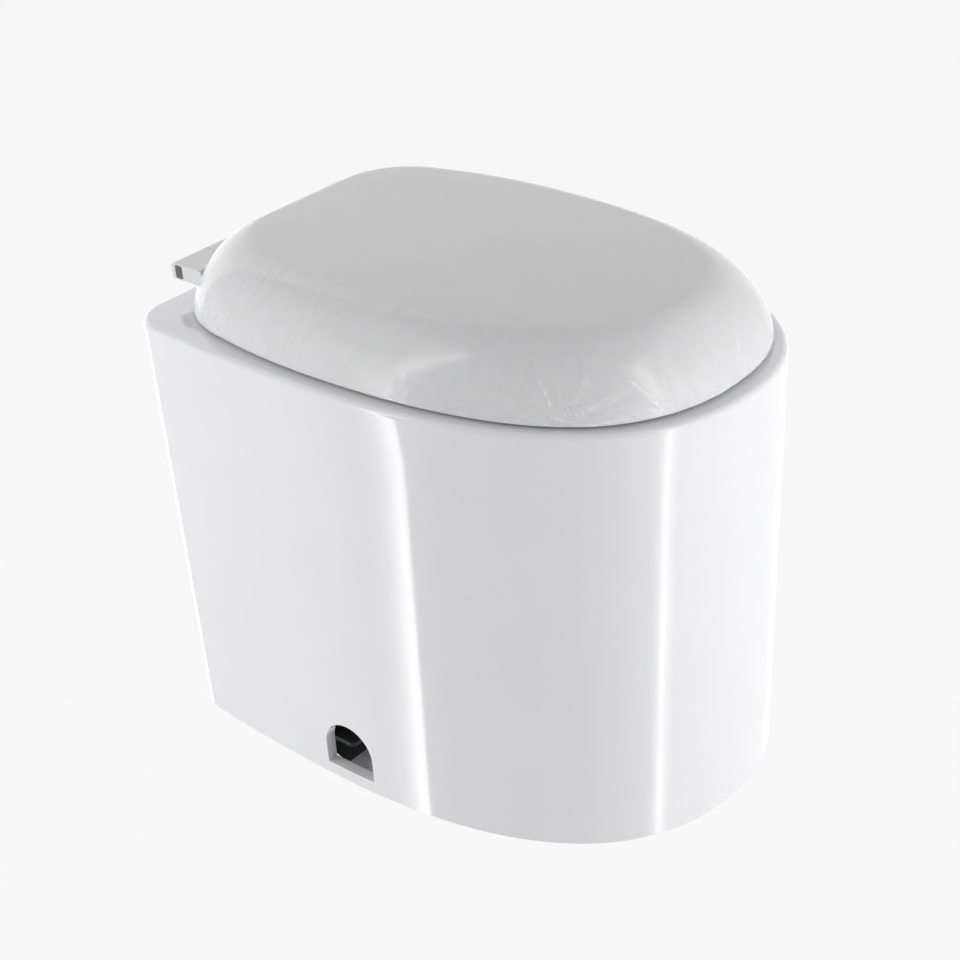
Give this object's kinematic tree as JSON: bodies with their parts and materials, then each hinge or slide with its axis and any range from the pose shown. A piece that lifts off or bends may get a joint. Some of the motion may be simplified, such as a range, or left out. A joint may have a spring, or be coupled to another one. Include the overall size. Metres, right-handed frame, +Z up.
{
  "type": "electric marine toilet",
  "caption": "One-piece china pedestal bowl with a domed drop-over lid, hinged seat, and an electric macerating pump and rinse valve housed inside the skirt.",
  "frame": {"origin": "centre of the pedestal's box at floor level, on the plane of symmetry", "axes": "+Z up, -Y towards the front of the bowl, +Y towards the wall behind, +X to the sitter's left"},
  "size_m": [0.36, 0.5036, 0.4448],
  "materials": {
    "glazed_china": "white vitreous china with a clear glossy glaze",
    "white_plastic": "glossy white moulded plastic",
    "grey_plastic": "satin mid-grey plastic",
    "clear_film": "clear protective film, creased",
    "stainless_steel": "satin stainless steel",
    "black_rubber": "matt black rubber",
    "pale_rubber": "translucent pale rubber",
    "black_plastic": "black glass-filled nylon, slightly grained",
    "grey_board": "grey moulded plastic",
    "pale_plastic": "off-white moulded plastic",
    "motor_paint": "black powder-coated steel",
    "cast_aluminium": "die-cast aluminium",
    "steel_laminations": "stacked steel laminations",
    "copper": "lacquered copper",
    "carbon": "dark sintered carbon and ferrite"
  },
  "bodies": {
    "pedestal": {"china_pedestal": "glazed_china", "hinge_blocks": "white_plastic", "hinge_end_caps": "grey_plastic", "hinge_pins": "stainless_steel", "hinge_studs_and_nuts": "stainless_steel", "hinge_washers": "black_rubber", "bowl_outlet_seal": "black_rubber", "inlet_elbow": "black_plastic", "pump_housing": "black_plastic", "shaft_seal": "black_rubber", "cutter_plate": "stainless_steel", "motor_front_bell": "cast_aluminium", "shaft_bearings": "stainless_steel", "motor_case": "motor_paint", "motor_end_cap": "motor_paint", "field_magnets": "carbon", "brush_ring": "black_plastic", "brushes": "carbon", "motor_through_bolts": "stainless_steel", "machine_screws": "stainless_steel", "discharge_elbow": "black_plastic", "one_way_rubber": "black_rubber", "discharge_hose_tail": "black_plastic", "small_screws": "stainless_steel", "pump_tray": "grey_board", "motor_cradle": "black_plastic", "motor_strap": "stainless_steel", "rubber_mounts": "black_rubber", "solenoid_valve_body": "pale_plastic", "rinse_inlet_tail": "black_plastic", "valve_outlet_tail": "black_plastic", "rinse_hose": "black_rubber", "hose_clamps": "stainless_steel", "rinse_spud": "pale_plastic", "spud_seals": "black_rubber", "spud_nut": "pale_plastic", "rinse_elbow": "black_plastic", "plunger_guide": "stainless_steel", "solenoid_coil": "black_plastic", "coil_frame": "stainless_steel", "valve_bracket": "stainless_steel", "valve_spring": "stainless_steel", "terminal_box": "grey_board", "terminal_box_cover": "grey_board", "cable_gland": "black_plastic", "internal_leads": "black_rubber"},
    "seat": {"seat_ring": "white_plastic", "seat_hinge_bushes": "grey_plastic", "seat_bumpers": "pale_rubber"},
    "lid": {"lid": "white_plastic", "lid_hinge_bushes": "grey_plastic", "lid_buffers": "pale_rubber", "protective_film": "clear_film"},
    "pump_rotor": {"motor_shaft": "stainless_steel", "macerator_blade": "stainless_steel", "impeller": "black_plastic", "armature_core": "steel_laminations", "armature_windings": "copper", "commutator": "copper"},
    "plunger": {"valve_plunger": "stainless_steel"}
  },
  "joints": [
    {"name": "seat_hinge", "type": "hinge", "parent": "pedestal", "child": "seat", "pos_m": [0, 0.24, 0.404], "axis": [-1, 0, 0], "range_deg": [0, 90]},
    {"name": "lid_hinge", "type": "hinge", "parent": "seat", "child": "lid", "pos_m": [0, 0.24, 0.404], "axis": [-1, 0, 0], "range_deg": [0, 95]},
    {"name": "rotor_spin", "type": "hinge", "parent": "pedestal", "child": "pump_rotor", "pos_m": [0, 0.1, 0.072], "axis": [0, 1, 0], "continuous": true},
    {"name": "plunger_slide", "type": "slide", "parent": "pedestal", "child": "plunger", "axis": [-1, 0, 0], "range_m": [0, 0.003], "stiffness_N_per_m": 800, "springref_m": -0.001, "deforming": ["valve_spring"]}
  ]
}
